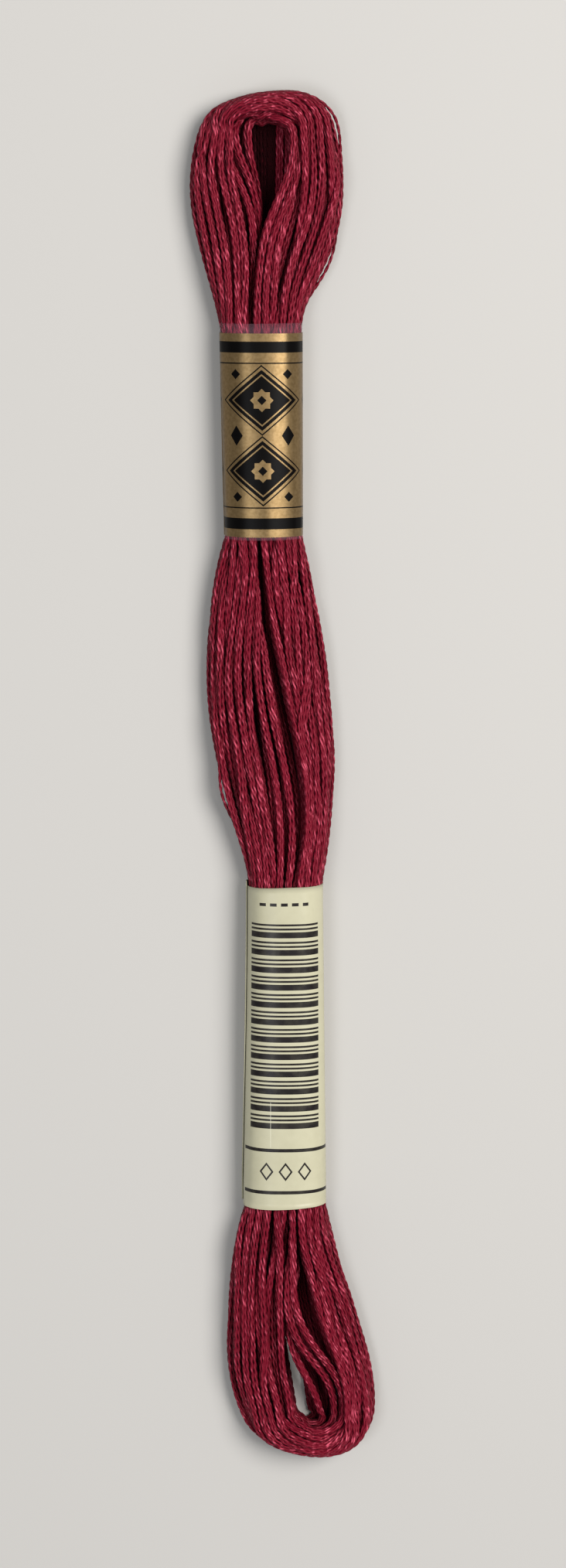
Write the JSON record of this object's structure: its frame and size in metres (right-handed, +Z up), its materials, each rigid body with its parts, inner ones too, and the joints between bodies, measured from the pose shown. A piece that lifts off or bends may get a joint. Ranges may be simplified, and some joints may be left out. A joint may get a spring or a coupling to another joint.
{
  "type": "skein of embroidery floss",
  "caption": "Flat pull skein of six-strand embroidery floss with an eye loop at each end, held by two slipped-on bands.",
  "frame": {"origin": "on the surface the skein lies on, under the centre of its bounding box", "axes": "+Y along the skein towards the eye loop beside the gold band, +Z up from the surface, +X to the right seen from above"},
  "size_m": [0.0222, 0.165, 0.0062],
  "materials": {
    "floss": "mercerised six-strand cotton, silky, deep crimson",
    "printed_film": "thin clear film with gold and black print",
    "cream_paper": "coated cream paper with black print"
  },
  "bodies": {
    "root": {"skein": "floss", "upper_band": "printed_film", "lower_band": "cream_paper"}
  },
  "joints": []
}
